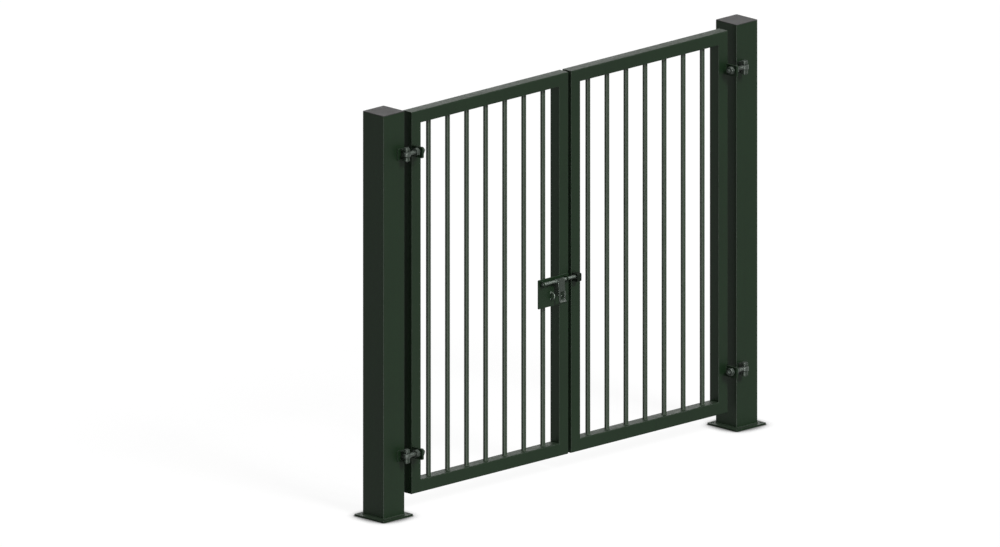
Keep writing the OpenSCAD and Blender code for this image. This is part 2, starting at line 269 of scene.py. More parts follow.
def sum_of(tree, kind, first, second, clamp=False):
    """Result of one sum; kind is ADD, SUBTRACT, MULTIPLY or MAXIMUM."""
    node = tree.nodes.new("ShaderNodeMath")
    node.operation = kind
    node.use_clamp = clamp
    for socket, value in zip(node.inputs, (first, second)):
        feed(tree, socket, value)
    return node.outputs[0]


def ranged(tree, value, low, high, to_low=0.0, to_high=1.0):
    """Value stretched from one range to another, and held inside it."""
    node = place_node(tree, "ShaderNodeMapRange", None, Value=value, From_Min=low,
                      From_Max=high, To_Min=to_low, To_Max=to_high)
    return node.outputs[0]


def noise(tree, coordinates, scale, detail, roughness):
    """Cloudy pattern; a larger scale makes smaller clouds."""
    node = place_node(tree, "ShaderNodeTexNoise", None, Vector=coordinates, Scale=scale,
                      Detail=detail, Roughness=roughness)
    return node.outputs[0]


def new_group(name, inputs, outputs):
    """Empty shader group; inputs and outputs are (name, kind) pairs."""
    tree = bpy.data.node_groups.new(name, "ShaderNodeTree")
    for flow, sockets in (("INPUT", inputs), ("OUTPUT", outputs)):
        for title, kind in sockets:
            tree.interface.new_socket(name=title, in_out=flow,
                                      socket_type="NodeSocket" + kind)
    return tree, tree.nodes.new("NodeGroupInput"), tree.nodes.new("NodeGroupOutput")


def powder_coat_group():
    """Powder coat: cloudy tone, run marks, orange peel, thin edges, dust on top faces."""
    tree, given, put = new_group(
        "powder_coat",
        [("Colour", "Color"), ("Edge Colour", "Color"), ("Dust Colour", "Color"),
         ("Worn", "Float"), ("Dust", "Float"), ("Sheen Spread", "Float")],
        [("Colour", "Color"), ("Roughness", "Float"), ("Height", "Float")])
    where = tree.nodes.new("ShaderNodeTexCoord")
    here = where.outputs["Object"]
    cloud = noise(tree, here, 2.3, 4, 0.55)
    runs_at = place_node(tree, "ShaderNodeMapping", None, Vector=here,
                         Scale=(38, 38, 0.9)).outputs[0]
    runs = noise(tree, runs_at, 1, 3, 0.6)
    fine = noise(tree, here, 46, 4, 0.6)
    tone = sum_of(tree, "ADD", ranged(tree, cloud, 0.3, 0.7, 0.93, 1.06),
                  ranged(tree, runs, 0.3, 0.7, -0.045, 0.045))
    tone = sum_of(tree, "ADD", tone, ranged(tree, fine, 0.25, 0.75, -0.05, 0.05))
    toned = place_node(tree, "ShaderNodeHueSaturation", None, Value=tone,
                       Color=given.outputs["Colour"]).outputs[0]
    edge = sum_of(tree, "MULTIPLY", given.outputs["Worn"],
                  ranged(tree, fine, 0.38, 0.62, 0.15, 0.75))
    toned = mixed(tree, edge, toned, given.outputs["Edge Colour"])
    upward = place_node(tree, "ShaderNodeSeparateXYZ", None,
                        Vector=where.outputs["Normal"]).outputs[2]
    settled = sum_of(tree, "MULTIPLY", ranged(tree, upward, 0.55, 0.98),
                     ranged(tree, fine, 0.3, 0.7, 0.55, 1.0))
    settled = sum_of(tree, "MULTIPLY", settled, given.outputs["Dust"], clamp=True)
    tree.links.new(mixed(tree, settled, toned, given.outputs["Dust Colour"]),
                   put.inputs["Colour"])
    rough = sum_of(tree, "ADD", given.outputs["Sheen Spread"],
                   ranged(tree, cloud, 0.3, 0.7, -0.03, 0.05))
    rough = sum_of(tree, "ADD", rough, ranged(tree, fine, 0.3, 0.7, -0.03, 0.03))
    rough = sum_of(tree, "ADD", rough, sum_of(tree, "MULTIPLY", settled, 0.25))
    tree.links.new(rough, put.inputs["Roughness"])
    peel = sum_of(tree, "ADD", noise(tree, here, 330, 2, 0.5),
                  sum_of(tree, "MULTIPLY", noise(tree, here, 1300, 1, 0.5), 0.35))
    tree.links.new(peel, put.inputs["Height"])
    return tree


powder_coat = powder_coat_group()


def new_material(name):
    """Material, its node tree and its surface shader."""
    material = bpy.data.materials.new(name)
    material.use_nodes = True
    return material, material.node_tree, material.node_tree.nodes["Principled BSDF"]


def skinned(name, skin, values, relief, depth, gloss):
    """Material that takes its colour, roughness and relief from a shader group."""
    material, tree, shader = new_material(name)
    group = tree.nodes.new("ShaderNodeGroup")
    group.node_tree = skin
    for title, value in values.items():
        group.inputs[title].default_value = value
    worn = place_node(tree, "ShaderNodeAttribute", {"attribute_name": "worn"})
    tree.links.new(worn.outputs["Fac"], group.inputs["Worn"])
    bump = place_node(tree, "ShaderNodeBump", None, Strength=relief, Distance=depth,
                      Height=group.outputs["Height"])
    for given, taken in (("Colour", "Base Color"), ("Roughness", "Roughness"),
                         ("Metallic", "Metallic")):
        if given in group.outputs:
            tree.links.new(group.outputs[given], shader.inputs[taken])
    tree.links.new(bump.outputs[0], shader.inputs["Normal"])
    shader.inputs["Specular IOR Level"].default_value = gloss
    return material


def coated(name, colour, edge_colour, dust=0.5, sheen=0.42, gloss=0.14):
    """Coated steel: a thin plastic skin with a satin sheen."""
    return skinned(name, powder_coat, {
        "Colour": colour, "Edge Colour": edge_colour, "Dust Colour": road_dust,
        "Dust": dust, "Sheen Spread": sheen}, peel_relief, peel_depth, gloss)


coat = coated("fir_green_coat", fir_green, fir_green_light)

for side in ("left", "right"):
    low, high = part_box("left_base_plate")
    size = high - low
    post_low, post_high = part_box("left_post")
    centre = (low + high) / 2
    reach = size.x / 2 - anchor_edge
    plate = slab(size.x, size.y, size.z, base_corner, base_corner,
                 [(x, y, anchor_hole) for x in (-reach, reach) for y in (-reach, reach)])
    break_edges(plate, base_rim)
    bm = new_piece()
    add_part(bm, plate, Matrix.Translation((centre.x, centre.y, low.z)))
    add_part(bm, ring_weld(post_high.x - post_low.x, post_corner, 0, foot_weld),
             Matrix.Translation((centre.x, centre.y, high.z)))
    piece = finish_piece(side + "_foot_plate", to_side(bm, side), coat)
    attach(piece, "root")
    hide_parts(side + "_base_plate")


# Posts: square steel tubes with rolled corners, sawn square and welded to the base
# plates, then powder coated in fir green.

post_wall = 0.005
post_rim = 0.0006


def square_tube(side_x, side_y, length, corner, wall, steps=8):
    """Hollow tube that stands on the xy plane."""
    bm = rounded_face(side_x, side_y, corner, corner, steps)
    bmesh.ops.inset_region(bm, faces=bm.faces[:], thickness=wall, use_even_offset=True,
                           use_boundary=True)
    middle = min(bm.faces, key=lambda face: face.calc_center_median().length
                 - merge_gap * len(face.verts))
    bmesh.ops.delete(bm, geom=[middle], context="FACES_ONLY")
    return raise_faces(bm, length)


for side in ("left", "right"):
    low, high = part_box("left_post")
    centre = (low + high) / 2
    tube = square_tube(high.x - low.x, high.y - low.y, high.z - low.z, post_corner,
                       post_wall)
    break_edges(tube, post_rim, 2)
    bm = new_piece()
    add_part(bm, tube, Matrix.Translation((centre.x, centre.y, low.z)))
    piece = finish_piece(side + "_square_post", to_side(bm, side), coat)
    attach(piece, "root")
    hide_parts(side + "_post")


# Post caps: moulded grey plastic lids, flush with the posts' faces, that a hollow plug
# holds inside the tube. Their top is flat and finely grained, with a rounded rim.

cap_rim = 0.0018
cap_lid = 0.004
cap_wall = 0.003
plug_play = 0.0005
grain_relief = 0.3
grain_depth = 0.0003
cap_gloss = 0.1
cap_grey = (0.045, 0.045, 0.045, 1)
cap_chalk = (0.080, 0.079, 0.078, 1)


def cap_material():
    """Grained plastic, a little chalked by the sun on its top face."""
    material, tree, shader = new_material("cap_plastic_grey")
    where = tree.nodes.new("ShaderNodeTexCoord")
    here = where.outputs["Object"]
    cloud = noise(tree, here, 14, 4, 0.6)
    grain = noise(tree, here, 900, 2, 0.6)
    upward = place_node(tree, "ShaderNodeSeparateXYZ", None,
                        Vector=where.outputs["Normal"]).outputs[2]
    chalk = sum_of(tree, "MULTIPLY", ranged(tree, upward, 0.5, 0.98),
                   ranged(tree, cloud, 0.3, 0.7, 0.45, 0.8), clamp=True)
    tree.links.new(mixed(tree, chalk, cap_grey, cap_chalk), shader.inputs["Base Color"])
    tree.links.new(ranged(tree, cloud, 0.3, 0.7, 0.55, 0.68), shader.inputs["Roughness"])
    bump = place_node(tree, "ShaderNodeBump", None, Strength=grain_relief,
                      Distance=grain_depth, Height=grain)
    tree.links.new(bump.outputs[0], shader.inputs["Normal"])
    shader.inputs["Specular IOR Level"].default_value = cap_gloss
    return material


cap_plastic = cap_material()

for side in ("left", "right"):
    low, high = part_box("left_post_cap")
    centre = (low + high) / 2
    bm = new_piece()
    lid = slab(high.x - low.x, high.y - low.y, cap_lid, post_corner, post_corner)
    break_edges(lid, cap_rim, 4)
    add_part(bm, lid, Matrix.Translation((centre.x, centre.y, high.z - cap_lid)))
    plug_side = high.x - low.x - 2 * (post_wall + plug_play)
    plug = square_tube(plug_side, plug_side, high.z - cap_lid - low.z, 0, cap_wall)
    add_part(bm, plug, Matrix.Translation((centre.x, centre.y, low.z)))
    piece = finish_piece(side + "_grey_cap", to_side(bm, side), cap_plastic)
    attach(piece, "root")
    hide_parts(side + "_post_cap")


# Leaf frames: two stiles and two rails of square tube, mitred and welded at the corners.
# The welds are ground flush, so that a fine line across each corner is left.

frame_corner = 0.004
frame_wall = 0.003
frame_rim = 0.0007


def cut_off(bm, point, normal):
    """Cuts away what lies past a plane and gives the edges of the cut."""
    cut = bmesh.ops.bisect_plane(bm, geom=bm.verts[:] + bm.edges[:] + bm.faces[:],
                                 plane_co=point, plane_no=normal,
                                 clear_outer=True)["geom_cut"]
    return [part for part in cut if isinstance(part, bmesh.types.BMEdge)]


def mitred(bm, length, outer):
    """Cuts both ends of an upright tube at 45 degrees; outer is the long side's x."""
    for height, lift in ((0, -1), (length, 1)):
        edges = cut_off(bm, (outer, 0, height), (1 if outer < 0 else -1, 0, lift))
        bmesh.ops.bridge_loops(bm, edges=edges)
    bmesh.ops.recalc_face_normals(bm, faces=bm.faces)
    return bm


def frame_tube(node, x_axis, z_axis, outer):
    """Mitred tube that fills a node's box; z_axis is its length, outer its long side."""
    low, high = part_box(node)
    x_axis, z_axis = Vector(x_axis), Vector(z_axis)
    centre = (low + high) / 2
    length = abs((high - low).dot(z_axis))
    side = (high - low).y
    tube = mitred(square_tube(side, side, length, frame_corner, frame_wall, 5), length,
                  outer * side / 2)
    break_edges(tube, frame_rim, 2)
    bm = new_piece()
    add_part(bm, tube, seat(centre - z_axis * length / 2, x_axis, z_axis.cross(x_axis)))
    return bm


for side in ("left", "right"):
    for member, x_axis, z_axis, outer in (
            ("hinge_stile", (1, 0, 0), (0, 0, 1), -1),
            ("meeting_stile", (1, 0, 0), (0, 0, 1), 1),
            ("top_rail", (0, 0, -1), (1, 0, 0), -1),
            ("bottom_rail", (0, 0, -1), (1, 0, 0), 1)):
        bm = to_side(frame_tube("left_" + member, x_axis, z_axis, outer), side)
        piece = finish_piece(side + "_leaf_" + member, bm, coat)
        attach(piece, side + "_leaf")
        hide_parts(side + "_" + member)


# Infill bars: seven round tubes in each leaf between its rails, with a small weld all
# round at both ends.

bar_wall = 0.002
bar_weld = 0.0024
bar_bite = 0.0005
bar_bead = [(1, 0), (0.75, 0.5), (0.28, 0.95)]
bar_bead_rise = 1.25
bar_count = 7
# The bars' green is lighter and greyer than the frame's coat: a painted sheen that stands
# in for the highlights the round bars catch.
bar_green_painted_sheen = (0.040, 0.060, 0.038, 1)
bar_green_light = (0.066, 0.094, 0.066, 1)

bar_sheen_coat = coated("fir_green_bars_painted_sheen", bar_green_painted_sheen, bar_green_light, gloss=0.16)


def turned(profile, steps=32, ring=False):
    """Shape turned about the z axis from (radius, height) points."""
    bm = bmesh.new()
    verts = [bm.verts.new((radius, 0, height)) for radius, height in profile]
    edges = [bm.edges.new(pair) for pair in zip(verts, verts[1:])]
    if ring:
        edges.append(bm.edges.new((verts[-1], verts[0])))
    bmesh.ops.spin(bm, geom=verts + edges, cent=(0, 0, 0), axis=(0, 0, 1), angle=2 * pi,
                   steps=steps, use_merge=True)
    bmesh.ops.remove_doubles(bm, verts=bm.verts, dist=merge_gap)
    bmesh.ops.recalc_face_normals(bm, faces=bm.faces)
    return bm


def arc(radius, height, size, start, end, steps=4):
    """Points of a small arc in a turned profile, its angles in degrees."""
    return [(radius + size * cos(radians(start + (end - start) * i / steps)),
             height + size * sin(radians(start + (end - start) * i / steps)))
            for i in range(steps + 1)]


for side in ("left", "right"):
    low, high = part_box("left_infill_bars")
    bar_r = (high.y - low.y) / 2
    length = high.z - low.z
    bm = new_piece()
    for i in range(bar_count):
        x = low.x + bar_r + i * (high.x - low.x - 2 * bar_r) / (bar_count - 1)
        place = Matrix.Translation((x, low.y + bar_r, low.z))
        bar = turned([(bar_r, 0), (bar_r, length), (bar_r - bar_wall, length),
                      (bar_r - bar_wall, 0)], 36, ring=True)
        add_part(bm, bar, place)
        for height, up in ((0, 1), (length, -1)):
            bead = turned(
                [(bar_r - bar_bite, height)]
                + [(bar_r + bar_weld * out, height + up * bar_weld * rise)
                   for out, rise in bar_bead]
                + [(bar_r - bar_bite, height + up * bar_weld * bar_bead_rise)], 24,
                ring=True)
            add_part(bm, bead, place)
    piece = finish_piece(side + "_round_bars", to_side(bm, side), bar_sheen_coat)
    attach(piece, side + "_leaf")
    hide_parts(side + "_infill_bars")


# Hinge plates: pieces of flat bar welded edge on to the stiles' front face, flush with
# their outer side, each drilled for its eye bolt. Their free corners are rounded, and they
# are coated.

hinge_plate_corner = 0.004
hinge_plate_rim = 0.0008
hinge_plate_hole = 0.012
hinge_weld = 0.0030
hinge_weld_end = 0.003

for side in ("left", "right"):
    for level in ("lower", "upper"):
        low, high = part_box("left_" + level + "_hinge_plate")
        size = high - low
        centre = (low + high) / 2
        bolt = middle_of("left_" + level + "_eye_bolt")
        plate = slab(size.z, size.y, size.x, hinge_plate_corner, 0,
                     [(centre.z - bolt.z, bolt.y - centre.y, hinge_plate_hole)])
        break_edges(plate, hinge_plate_rim)
        bm = new_piece()
        add_part(bm, plate, seat((low.x, centre.y, centre.z), (0, 0, -1), (0, 1, 0)))
        for x in (low.x + frame_corner / 2, high.x):
            add_part(bm, weld((x, high.y, low.z + hinge_weld_end),
                              (x, high.y, high.z - hinge_weld_end), hinge_weld))
        piece = finish_piece(side + "_" + level + "_stile_plate", to_side(bm, side), coat)
        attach(piece, side + "_leaf")
        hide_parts(side + "_" + level + "_hinge_plate")


# Post brackets: a back plate welded to the post's front face and coated with it, and two
# drilled lugs that carry the hinge pin. The lower lug has a turned bush on it, and the eye
# rests on the bush.

lug_width = 0.032
lug_thickness = 0.008
back_thickness = 0.006
lug_hole = 0.0092
bracket_rim = 0.0009
bracket_corner = 0.002
bracket_weld = 0.0022
bracket_weld_end = 0.004
lug_weld_end = 0.002
weld_sink = 0.0005
nearly_half = 0.498
bush_radius = 0.016
bush_height = 0.013
bush_chamfer = 0.0008
steel_relief = 0.2
steel_depth = 0.0003
steel_gloss = 0.2
bracket_grey = (0.026, 0.038, 0.027, 1)
bracket_bright = (0.080, 0.100, 0.082, 1)


def worn_steel_group():
    """Dark steel that is mottled, and rubbed bright on its edges and where it slides."""
    tree, given, put = new_group(
        "worn_steel",
        [("Dark", "Color"), ("Bright", "Color"), ("Worn", "Float"), ("Rubbed", "Float"),
         ("Mottle", "Float"), ("Sheen Spread", "Float")],
        [("Colour", "Color"), ("Roughness", "Float"), ("Metallic", "Float"),
         ("Height", "Float")])
    here = tree.nodes.new("ShaderNodeTexCoord").outputs["Object"]
    blotch = noise(tree, here, 70, 4, 0.6)
    speck = noise(tree, here, 420, 3, 0.6)
    edge = sum_of(tree, "MULTIPLY", given.outputs["Worn"],
                  ranged(tree, blotch, 0.35, 0.6, 0.25, 1))
    mottle = sum_of(tree, "MULTIPLY", given.outputs["Mottle"],
                    ranged(tree, blotch, 0.35, 0.65))
    rubbed = sum_of(tree, "MULTIPLY", given.outputs["Rubbed"],
                    ranged(tree, speck, 0.3, 0.6, 0.55, 1))
    bright = sum_of(tree, "MAXIMUM", sum_of(tree, "MAXIMUM", edge, mottle), rubbed, True)
    tree.links.new(mixed(tree, bright, given.outputs["Dark"], given.outputs["Bright"]),
                   put.inputs["Colour"])
    rough = sum_of(tree, "ADD", given.outputs["Sheen Spread"],
                   ranged(tree, speck, 0.3, 0.7, -0.06, 0.06))
    rough = sum_of(tree, "SUBTRACT", rough, sum_of(tree, "MULTIPLY", bright, 0.12))
    tree.links.new(rough, put.inputs["Roughness"])
    tree.links.new(ranged(tree, bright, 0, 1, 0.10, 0.40), put.inputs["Metallic"])
    tree.links.new(sum_of(tree, "ADD", speck, sum_of(tree, "MULTIPLY", blotch, 0.6)),
                   put.inputs["Height"])
    return tree


worn_steel = worn_steel_group()


def steel(name, dark, bright, mottle=0.25, sheen=0.42, rubbed=0.0):
    """Bare or thinly painted steel that handling has worn."""
    return skinned(name, worn_steel, {
        "Dark": dark, "Bright": bright, "Mottle": mottle, "Sheen Spread": sheen,
        "Rubbed": rubbed}, steel_relief, steel_depth, steel_gloss)


bracket_steel = steel("painted_bracket", bracket_grey, bracket_bright)

for side in ("left", "right"):
    for level in ("lower", "upper"):
        low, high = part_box("left_" + level + "_post_bracket")
        centre = (low + high) / 2
        pin = middle_of("left_" + level + "_hinge_pin")
        bm = new_piece()
        back = slab(high.x - low.x, high.z - low.z, back_thickness, bracket_corner,
                    bracket_corner)
        break_edges(back, bracket_rim)
        add_part(bm, back, seat((centre.x, high.y, centre.z), (1, 0, 0), (0, 0, 1)))
        weld_y = high.y - weld_sink
        for x in (low.x, high.x):
            add_part(bm, weld((x, weld_y, low.z + bracket_weld_end),
                              (x, weld_y, high.z - bracket_weld_end), bracket_weld))
        piece = finish_piece(side + "_" + level + "_bracket_back", to_side(bm, side), coat)
        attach(piece, "root")
        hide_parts(side + "_" + level + "_post_bracket")
        bm = new_piece()
        lug_depth = high.y - back_thickness / 2 - low.y
        lug_y = low.y + lug_depth / 2
        face_y = high.y - back_thickness
        for z in (low.z, high.z - lug_thickness):
            lug = slab(lug_width, lug_depth, lug_thickness, lug_width * nearly_half, 0,
                       [(0, pin.y - lug_y, lug_hole)], 16)
            break_edges(lug, bracket_rim)
            add_part(bm, lug, Matrix.Translation((pin.x, lug_y, z)))
        weld_half = lug_width / 2 - lug_weld_end
        for z in (low.z + lug_thickness, high.z - lug_thickness):
            add_part(bm, weld((pin.x - weld_half, face_y, z),
                              (pin.x + weld_half, face_y, z), bracket_weld))
        bush = turned([(lug_hole, 0), (bush_radius, 0),
                       (bush_radius, bush_height - bush_chamfer),
                       (bush_radius - bush_chamfer, bush_height), (lug_hole, bush_height)],
                      40, ring=True)
        add_part(bm, bush, Matrix.Translation((pin.x, pin.y, low.z + lug_thickness)))
        piece = finish_piece(side + "_" + level + "_pin_lugs", to_side(bm, side),
                             bracket_steel)
        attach(piece, "root")


# Eye bolts: forged steel eyes that turn on the hinge pins. The eye's neck runs into a
# round shank with a coarse thread that two nuts hold in the hinge plate.

eye_out = 0.020
eye_in = 0.0094
eye_half = 0.012
eye_round = 0.0042
eye_break = 0.001
neck = [(0.0102, 0.0145), (0.0107, 0.019), (0.0103, 0.024), (0.0105, 0.028)]
shank_r = 0.011
shank_from = 0.032
thread_pitch = 0.0025
thread_root = 0.0096
thread_sink = 0.0004
thread_from = 0.044
thread_runout = 0.0015
thread_end = 0.004
thread_merge_gap = 1e-7
tip_chamfer = 0.0022
hinge_dark = (0.045, 0.056, 0.047, 1)
hinge_bright = (0.150, 0.178, 0.154, 1)

hinge_steel = steel("hinge_steel_dark", hinge_dark, hinge_bright, 0.4, 0.46)


def screw_ridge(start, length, root, crest, pitch, steps=20):
    """Thread ridge wound about the z axis."""
    bm = bmesh.new()
    foot = root - thread_sink
    verts = [bm.verts.new((radius, 0, start + pitch * share)) for radius, share in
             ((foot, -0.47), (crest, -0.08), (crest, 0.08), (foot, 0.47))]
    face = bm.faces.new(verts)
    turns = int(length / pitch)
    bmesh.ops.spin(bm, geom=[face] + face.edges[:] + verts, cent=(0, 0, 0),
                   axis=(0, 0, 1), dvec=(0, 0, pitch / steps), angle=2 * pi * turns,
                   steps=steps * turns, use_merge=False)
    bmesh.ops.remove_doubles(bm, verts=bm.verts, dist=thread_merge_gap)
    bmesh.ops.recalc_face_normals(bm, faces=bm.faces)
    return bm


for side in ("left", "right"):
    for level in ("lower", "upper"):
        low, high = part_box("left_" + level + "_eye_bolt")
        pin = middle_of("left_" + level + "_hinge_pin")
        pin.z = (low.z + high.z) / 2
        length = high.x - pin.x
        bm = new_piece()
        rim_x, rim_z = eye_out - eye_round, eye_half - eye_round
        bore_x, bore_z = eye_in + eye_break, eye_half - eye_break
        eye = turned(arc(rim_x, rim_z, eye_round, 0, 90)
                     + arc(bore_x, bore_z, eye_break, 90, 180, 2)
                     + arc(bore_x, -bore_z, eye_break, 180, 270, 2)
                     + arc(rim_x, -rim_z, eye_round, 270, 360), 48, ring=True)
        add_part(bm, eye, Matrix.Translation(pin))
        along = seat(pin, (0, 1, 0), (0, 0, 1))
        shank = turned([(0, neck[0][1])] + neck + [
            (shank_r, shank_from), (shank_r, thread_from - thread_runout),
            (thread_root, thread_from), (thread_root, length - tip_chamfer),
            (thread_root - thread_runout, length), (0, length)], 40)
        add_part(bm, shank, along)
        ridge = screw_ridge(thread_from, length - thread_from - thread_end, thread_root,
                            shank_r, thread_pitch)
        add_part(bm, ridge, along)
        piece = finish_piece(side + "_" + level + "_threaded_eye", to_side(bm, side),
                             hinge_steel)
        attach(piece, side + "_leaf")
        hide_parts(side + "_" + level + "_eye_bolt")


# Hinge nuts: hexagon nuts, one on each face of every hinge plate, with chamfered corners
# and a countersunk thread. Turning them moves the leaf in or out.

nut_flats = 0.036
nut_thickness = 0.020
nut_steps = 8
nut_rim = 0.0004
nut_turns = (7, 22)
chamfer_slope = 28
shoulder_share = 0.94
sink_out = 0.0012
sink_in = 0.0006
sink_depth = 0.0018


def hexagon_nut(flats, thickness, bore):
    """Nut that stands on the xy plane, its corners chamfered at both faces."""
    bm = bmesh.new()
    bmesh.ops.create_circle(bm, cap_ends=False, segments=6, radius=flats / 2 / cos(pi / 6))
    bmesh.ops.subdivide_edges(bm, edges=bm.edges[:], cuts=nut_steps - 1)
    shoulder = flats / 2 * shoulder_share
    ring = bm.verts[:]

    def lowered(co):
        return (hypot(co.x, co.y) - shoulder) * tan(radians(chamfer_slope))

    def on_circle(radius, height):
        return lambda co: Vector((co.x, co.y, 0)).normalized() * radius + Vector(
            (0, 0, height))

    for vert in ring:
        vert.co.z = lowered(vert.co)
    for place in (lambda co: Vector((co.x, co.y, thickness - lowered(co))),
                  on_circle(shoulder, thickness),
                  on_circle(bore + sink_out, thickness),
                  on_circle(bore - sink_in, thickness - sink_depth),
                  on_circle(bore - sink_in, sink_depth),
                  on_circle(bore + sink_out, 0),
                  on_circle(shoulder, 0)):
        known = set(ring)
        edges = [e for e in bm.edges if e.verts[0] in known and e.verts[1] in known]
        ring = verts_in(bmesh.ops.extrude_edge_only(bm, edges=edges)["geom"])
        for vert in ring:
            vert.co = place(vert.co)
    ends = [e for e in bm.edges if e.is_boundary]
    bmesh.ops.bridge_loops(bm, edges=ends)
    bmesh.ops.recalc_face_normals(bm, faces=bm.faces)
    return bm


for side in ("left", "right"):
    for level in ("lower", "upper"):
        low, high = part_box("left_" + level + "_hinge_nuts")
        centre = (low + high) / 2
        bm = new_piece()
        for x, degrees in zip((low.x, high.x - nut_thickness), nut_turns):
            turn = Matrix.Rotation(radians(degrees), 4, "Z")
            nut = hexagon_nut(nut_flats, nut_thickness, shank_r)
            break_edges(nut, nut_rim, 2, 50)
            add_part(bm, nut, seat((x, centre.y, centre.z), (0, 1, 0), (0, 0, 1)) @ turn)
        piece = finish_piece(side + "_" + level + "_adjusting_nuts", to_side(bm, side),
                             hinge_steel)
        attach(piece, side + "_leaf")
        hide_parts(side + "_" + level + "_hinge_nuts")


# Hinge pins: round steel pins with a flat turned head that drop through both lugs and
# the eye between them. A spring ring in a groove under the lower lug holds each one.

pin_r = 0.009
pin_head_r = 0.014
pin_head = 0.008
pin_point = 0.0016
head_round = 0.0022
head_break = 0.0005
head_dish_r = 0.008
head_dish = 0.0002
groove = [(0.0, 0.0032), (-0.0008, 0.0034), (-0.0008, 0.0048), (0.0, 0.0050)]
spring_ring = [(-0.0006, 0.0035), (0.0024, 0.0035), (0.0026, 0.0041), (0.0024, 0.0047),
               (-0.0006, 0.0047)]

for side in ("left", "right"):
    for level in ("lower", "upper"):
        low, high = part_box("left_" + level + "_hinge_pin")
        centre = (low + high) / 2
        top = high.z - low.z
        seat_z = top - pin_head
        bm = new_piece()
        pin = turned([(0, 0), (pin_r - pin_point, 0), (pin_r, pin_point)]
                     + [(pin_r + out, height) for out, height in groove]
                     + [(pin_r, seat_z), (pin_head_r - head_break, seat_z),
                        (pin_head_r, seat_z + head_break)]
                     + arc(pin_head_r - head_round, top - head_round, head_round, 0, 90)
                     + [(head_dish_r, top - head_dish), (0, top - head_dish)], 40)
        foot = Matrix.Translation((centre.x, centre.y, low.z))
        add_part(bm, pin, foot)
        clip = turned([(pin_r + out, height) for out, height in spring_ring], 40, ring=True)
        add_part(bm, clip, foot)
        piece = finish_piece(side + "_" + level + "_turning_pin", to_side(bm, side),
                             hinge_steel)
        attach(piece, "root")
        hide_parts(side + "_" + level + "_hinge_pin")


# Lock plate: a flat steel plate welded across the left leaf's meeting stile that reaches
# over the last bar. It carries the bolt, its rims are broken and it is coated.

lock_corner = 0.004
lock_rim = 0.0009
lock_weld = 0.0026
lock_weld_sink = 0.0006
lock_weld_ends = (0.008, 0.006)

low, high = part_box("lock_plate")
centre = (low + high) / 2
stile_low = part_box("left_meeting_stile")[0]
bm = new_piece()
plate = slab(high.x - low.x, high.z - low.z, high.y - low.y, lock_corner, lock_corner)
break_edges(plate, lock_rim)
add_part(bm, plate, seat((centre.x, high.y, centre.z), (1, 0, 0), (0, 0, 1)))
weld_y = high.y - lock_weld_sink
for z in (low.z, high.z):
    add_part(bm, weld((stile_low.x + lock_weld_ends[0], weld_y, z),
                      (high.x - lock_weld_ends[1], weld_y, z), lock_weld))
piece = finish_piece("lock_face_plate", bm, coat)
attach(piece, "left_leaf")
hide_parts("lock_plate")


# Bolt guides: two lugs with a round front, drilled for the rod and welded to the lock
# plate.

guide_thickness = 0.006
guide_hole = 0.0085
guide_rim = 0.0008
guide_weld = 0.0018
guide_weld_end = 0.003

low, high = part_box("bolt_guides")
centre = (low + high) / 2
rod_y, rod_z = middle_of("bolt_rod").yz
height = high.z - low.z
depth = high.y - low.y
bm = new_piece()
for x in (low.x, high.x - guide_thickness):
    lug = slab(height, depth, guide_thickness, height * nearly_half, 0,
               [(0, rod_y - centre.y, guide_hole)], 16)
    break_edges(lug, guide_rim)
    add_part(bm, lug, seat((x, centre.y, centre.z), (0, 0, -1), (0, 1, 0)))
    for face in (x, x + guide_thickness):
        add_part(bm, weld((face, high.y, low.z + guide_weld_end),
                          (face, high.y, high.z - guide_weld_end), guide_weld))
piece = finish_piece("bolt_guide_lugs", bm, coat)
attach(piece, "left_leaf")
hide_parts("bolt_guides")


# Padlock staples: two pieces of round bar bent to an arch and welded to the lock plate.
# The padlock hangs in one of them and in the flag's window.

staple_r = 0.004
staple_sink = 0.001
staple_steps = 24
staple_bead = [(-0.0004, 0), (0.0022, 0), (0.0016, 0.0012), (0.0005, 0.0021),
               (-0.0004, 0.0026)]
# The staples' steel is mottled, and its light blotches are made very light: partly worn
# steel, partly a painted highlight that stands in for the glints on the arches.
staple_grey = (0.022, 0.036, 0.024, 1)
staple_painted_glint = (0.34, 0.40, 0.345, 1)

staple_steel_painted_glint = steel("staple_steel_painted_glint", staple_grey, staple_painted_glint, 0.55, 0.36)

low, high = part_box("padlock_staples")
arch = (high.z - low.z) / 2 - staple_r
middle_z = (low.z + high.z) / 2
arch_y = low.y + arch + staple_r
plate_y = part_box("lock_plate")[0].y
angles = [radians(-90 + 180 * i / staple_steps) for i in range(staple_steps + 1)]
bm = new_piece()
for x in (low.x + staple_r, high.x - staple_r):
    feet = [(x, plate_y + staple_sink, z) for z in (middle_z - arch, middle_z + arch)]
    bow = [(x, arch_y - arch * cos(a), middle_z + arch * sin(a)) for a in angles]
    add_part(bm, swept([feet[0]] + bow + [feet[1]], [staple_r], (1, 0, 0), sides=20))
    for foot in feet:
        bead = turned([(staple_r + out, height) for out, height in staple_bead], 24,
                      ring=True)
        add_part(bm, bead, seat((x, plate_y, foot[2]), (1, 0, 0), (0, 0, 1)))
piece = finish_piece("padlock_arches", bm, staple_steel_painted_glint)
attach(piece, "left_leaf")
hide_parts("padlock_staples")


# Sliding bolt: a round steel rod that runs in the guides, its ends chamfered. It is
# rubbed bright along its length.

rod_chamfer = 0.0016
nose_length = 0.003
nose_chamfer = 0.0026
rod_grey = (0.080, 0.098, 0.083, 1)
rod_bright = (0.20, 0.235, 0.205, 1)

rod_steel = steel("rod_steel", rod_grey, rod_bright, 0.4, 0.42, 0.30)

